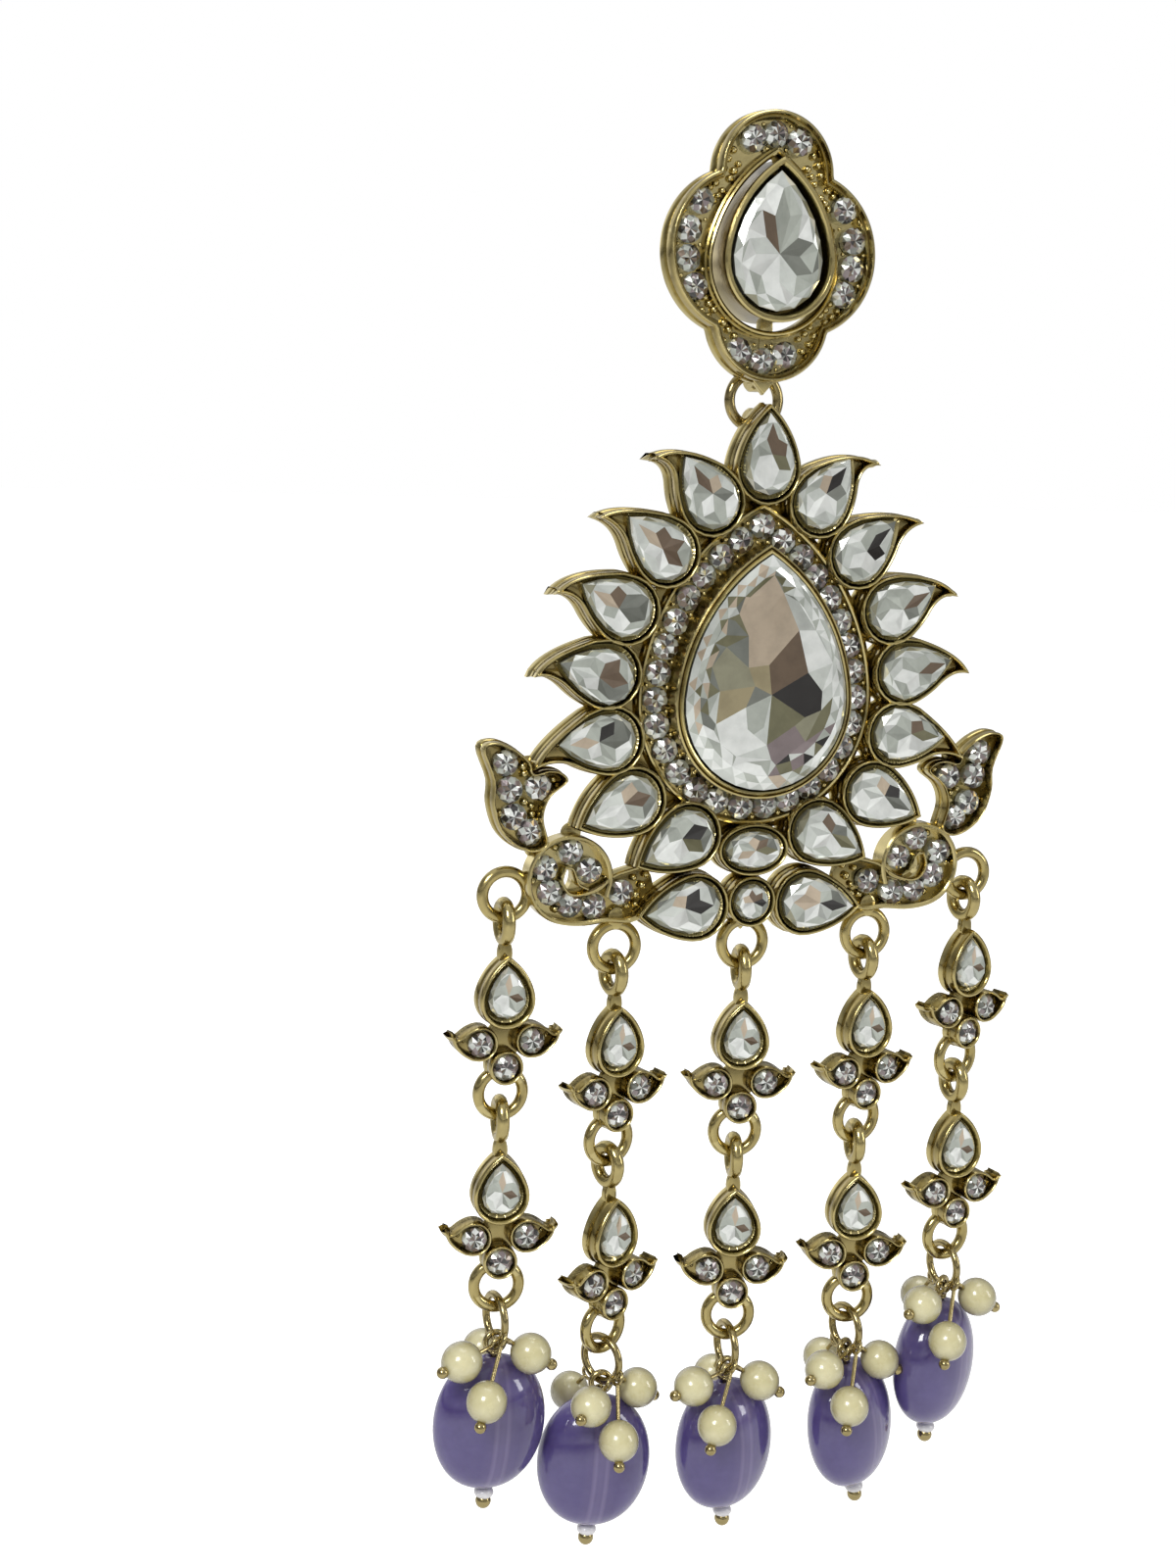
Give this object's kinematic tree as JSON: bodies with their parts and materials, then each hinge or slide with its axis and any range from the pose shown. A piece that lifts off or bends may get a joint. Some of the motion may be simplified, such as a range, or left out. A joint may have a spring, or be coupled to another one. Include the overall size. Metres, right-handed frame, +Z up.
{
  "type": "chandelier earring",
  "caption": "Chandelier earring: quatrefoil stud, jump ring and pear-stone frame with hanging strands of crystal links, pearls and lavender beads.",
  "frame": {"origin": "on the ear post's axis, at the face of its pad that rests on the ear lobe", "axes": "+Z up, +X to the wearer-facing right of the front view, +Y back through the ear lobe along the post; the front faces -Y"},
  "size_m": [0.0478, 0.0196, 0.108],
  "materials": {
    "antique_gold": "antique gold plating, dark in its recesses",
    "gold_wire": "polished gold-coloured wire",
    "crystal": "faceted clear stone with a silver foil back",
    "pearl": "ivory pearl lustre",
    "lavender_bead": "translucent lavender, polished",
    "white_bead": "milky white cap bead"
  },
  "bodies": {
    "stud": {"stud_frame": "antique_gold", "stud_stone": "crystal", "ear_post": "gold_wire"},
    "ring": {"jump_ring": "gold_wire"},
    "drop": {"main_frame": "antique_gold", "centre_stone": "crystal", "petal_stone_top": "crystal", "petal_stone_left_1": "crystal", "petal_stone_left_2": "crystal", "petal_stone_left_3": "crystal", "petal_stone_left_4": "crystal", "petal_stone_left_5": "crystal", "petal_stone_left_6": "crystal", "petal_stone_left_7": "crystal", "petal_stone_left_8": "crystal", "petal_stone_right_1": "crystal", "petal_stone_right_2": "crystal", "petal_stone_right_3": "crystal", "petal_stone_right_4": "crystal", "petal_stone_right_5": "crystal", "petal_stone_right_6": "crystal", "petal_stone_right_7": "crystal", "petal_stone_right_8": "crystal", "oval_stone": "crystal", "round_stone": "crystal", "link_left_outer_upper": "antique_gold", "link_left_outer_lower": "antique_gold", "link_left_inner_upper": "antique_gold", "link_left_inner_lower": "antique_gold", "link_centre_upper": "antique_gold", "link_centre_lower": "antique_gold", "link_right_inner_upper": "antique_gold", "link_right_inner_lower": "antique_gold", "link_right_outer_upper": "antique_gold", "link_right_outer_lower": "antique_gold", "link_stone_left_outer_upper": "crystal", "link_stone_left_outer_lower": "crystal", "link_stone_left_inner_upper": "crystal", "link_stone_left_inner_lower": "crystal", "link_stone_centre_upper": "crystal", "link_stone_centre_lower": "crystal", "link_stone_right_inner_upper": "crystal", "link_stone_right_inner_lower": "crystal", "link_stone_right_outer_upper": "crystal", "link_stone_right_outer_lower": "crystal", "pearls_left_outer": "pearl", "pearls_left_inner": "pearl", "pearls_centre": "pearl", "pearls_right_inner": "pearl", "pearls_right_outer": "pearl", "bead_left_outer": "lavender_bead", "bead_left_inner": "lavender_bead", "bead_centre": "lavender_bead", "bead_right_inner": "lavender_bead", "bead_right_outer": "lavender_bead", "bead_pin_left_outer": "gold_wire", "bead_pin_left_inner": "gold_wire", "bead_pin_centre": "gold_wire", "bead_pin_right_inner": "gold_wire", "bead_pin_right_outer": "gold_wire"}
  },
  "joints": [
    {"name": "ring_swing", "type": "hinge", "parent": "stud", "child": "ring", "pos_m": [0, -0.00085, -0.0089], "axis": [1, 0, 0], "range_deg": [-25, 45]},
    {"name": "drop_sway", "type": "hinge", "parent": "ring", "child": "drop", "pos_m": [0, -0.00085, -0.01085], "axis": [0, 1, 0], "range_deg": [-30, 30]}
  ]
}
